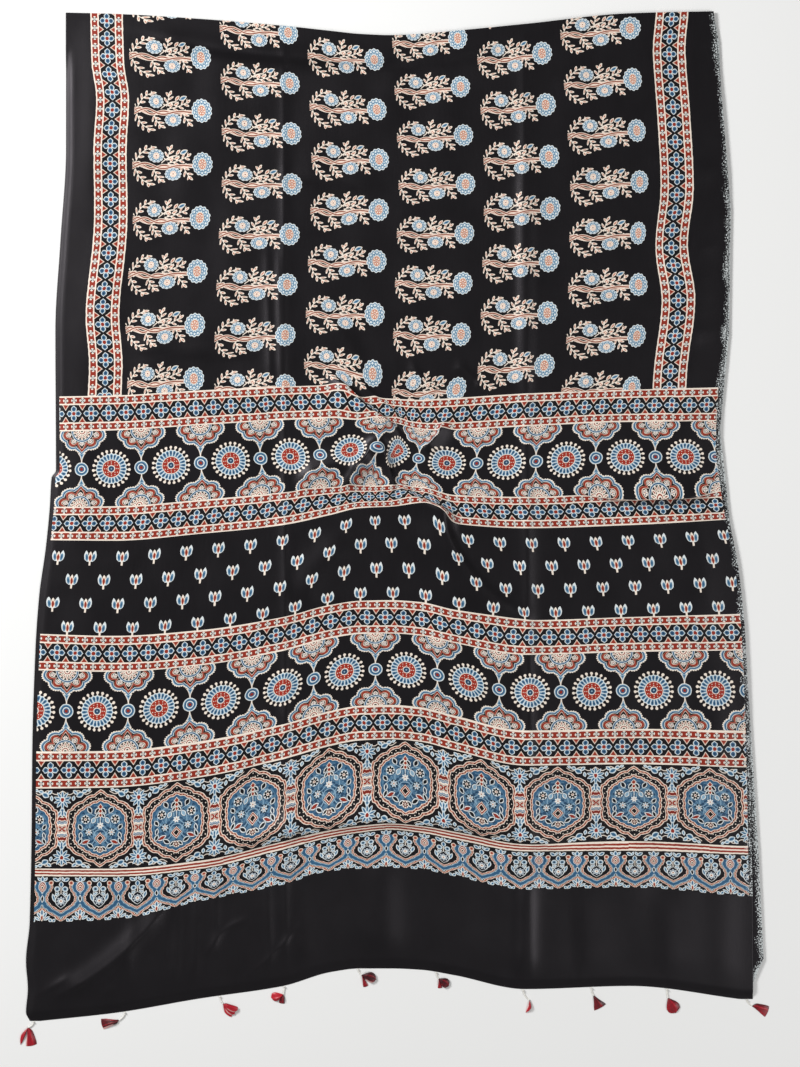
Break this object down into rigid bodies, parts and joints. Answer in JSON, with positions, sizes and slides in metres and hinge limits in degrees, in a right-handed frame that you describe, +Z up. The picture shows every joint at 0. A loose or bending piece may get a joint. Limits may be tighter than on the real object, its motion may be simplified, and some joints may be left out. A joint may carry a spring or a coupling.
{
  "type": "ajrakh block-printed saree, laid out folded, with petal tassels",
  "caption": "Long block-printed cloth folded back and forth in a flat pile, its printed end piece on top, with folded fabric petal tassels on short threads along the hem.",
  "frame": {"origin": "middle of the whole object's box, on the surface that it lies on", "axes": "+Z up from that surface, +Y along the cloth from the tasselled hem to the top fold, +X to the right"},
  "size_m": [1.198, 1.6579, 0.0254],
  "materials": {
    "cloth": "soft satin-faced cloth, dyed black and block printed in cream, madder red and indigo",
    "thread": "matt white sewing thread",
    "petal": "crimson fabric petals, stiffened and folded"
  },
  "bodies": {
    "root": {"saree": "cloth", "thread_1": "thread", "thread_2": "thread", "thread_3": "thread", "thread_4": "thread", "thread_5": "thread", "thread_6": "thread", "thread_7": "thread", "thread_8": "thread", "thread_9": "thread", "thread_10": "thread", "petal_1": "petal", "petal_2": "petal", "petal_3": "petal", "petal_4": "petal", "petal_5": "petal", "petal_6": "petal", "petal_7": "petal", "petal_8": "petal", "petal_9": "petal", "petal_10": "petal"}
  },
  "joints": []
}
